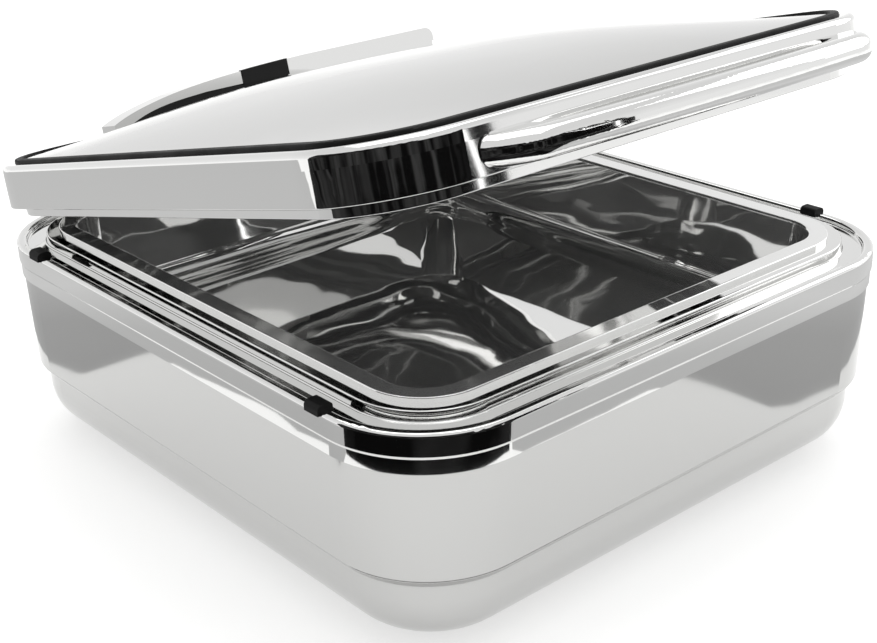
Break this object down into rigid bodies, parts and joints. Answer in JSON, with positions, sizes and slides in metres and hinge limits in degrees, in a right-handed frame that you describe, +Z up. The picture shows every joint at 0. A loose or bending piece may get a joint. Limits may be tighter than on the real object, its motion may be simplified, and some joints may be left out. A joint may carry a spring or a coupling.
{
  "type": "chafing dish",
  "caption": "Stainless chafing dish with a round-cornered body a little deeper than wide, a drop-in food pan over a water pan, and a domed lid that swings up on a rear friction hinge.",
  "frame": {"origin": "centre of the flat base, in the plane of the table", "axes": "+Z up, -Y towards the front handle, +Y towards the hinge, X along the hinge pin; the lid stands open 13.7 degrees"},
  "size_m": [0.3992, 0.4755, 0.2721],
  "materials": {
    "polished_steel": "mirror-polished stainless steel",
    "pan_steel": "bright drawn stainless steel",
    "satin_steel": "satin stainless steel",
    "disc_steel": "turned magnetic stainless steel",
    "fastener_steel": "plain bright fasteners",
    "spreader_aluminium": "bare aluminium",
    "bearing_bronze": "plain bearing bronze",
    "black_rubber": "matt black silicone rubber",
    "black_plastic": "fine-grained black plastic"
  },
  "bodies": {
    "base": {"induction_disc": "disc_steel", "foot_pads": "black_rubber", "base_tray": "satin_steel", "body_shell": "satin_steel", "gutter_rim": "polished_steel", "water_pan": "satin_steel", "food_pan": "pan_steel", "heat_spreader": "spreader_aluminium", "lid_bumpers": "black_rubber", "bracket_pad": "black_rubber", "hinge_bracket": "satin_steel", "hinge_bushes": "bearing_bronze", "hinge_pin": "polished_steel", "pin_circlip": "fastener_steel", "bracket_backing_plate": "satin_steel", "bracket_screws": "fastener_steel", "bracket_nuts": "fastener_steel"},
    "lid": {"lid_frame": "polished_steel", "lid_skirt": "satin_steel", "panel_gasket": "black_rubber", "lid_panel": "polished_steel", "front_handle": "polished_steel", "handle_screws": "fastener_steel", "hinge_hood": "polished_steel", "hinge_saddle_cap": "black_plastic", "hinge_arm": "satin_steel", "hinge_barrel": "satin_steel", "arm_backing_bar": "satin_steel", "arm_screws": "fastener_steel"}
  },
  "joints": [
    {"name": "lid_hinge", "type": "hinge", "parent": "base", "child": "lid", "pos_m": [0.032, 0.2457, 0.1192], "axis": [-1, 0, 0], "range_deg": [-13.7, 62]}
  ]
}
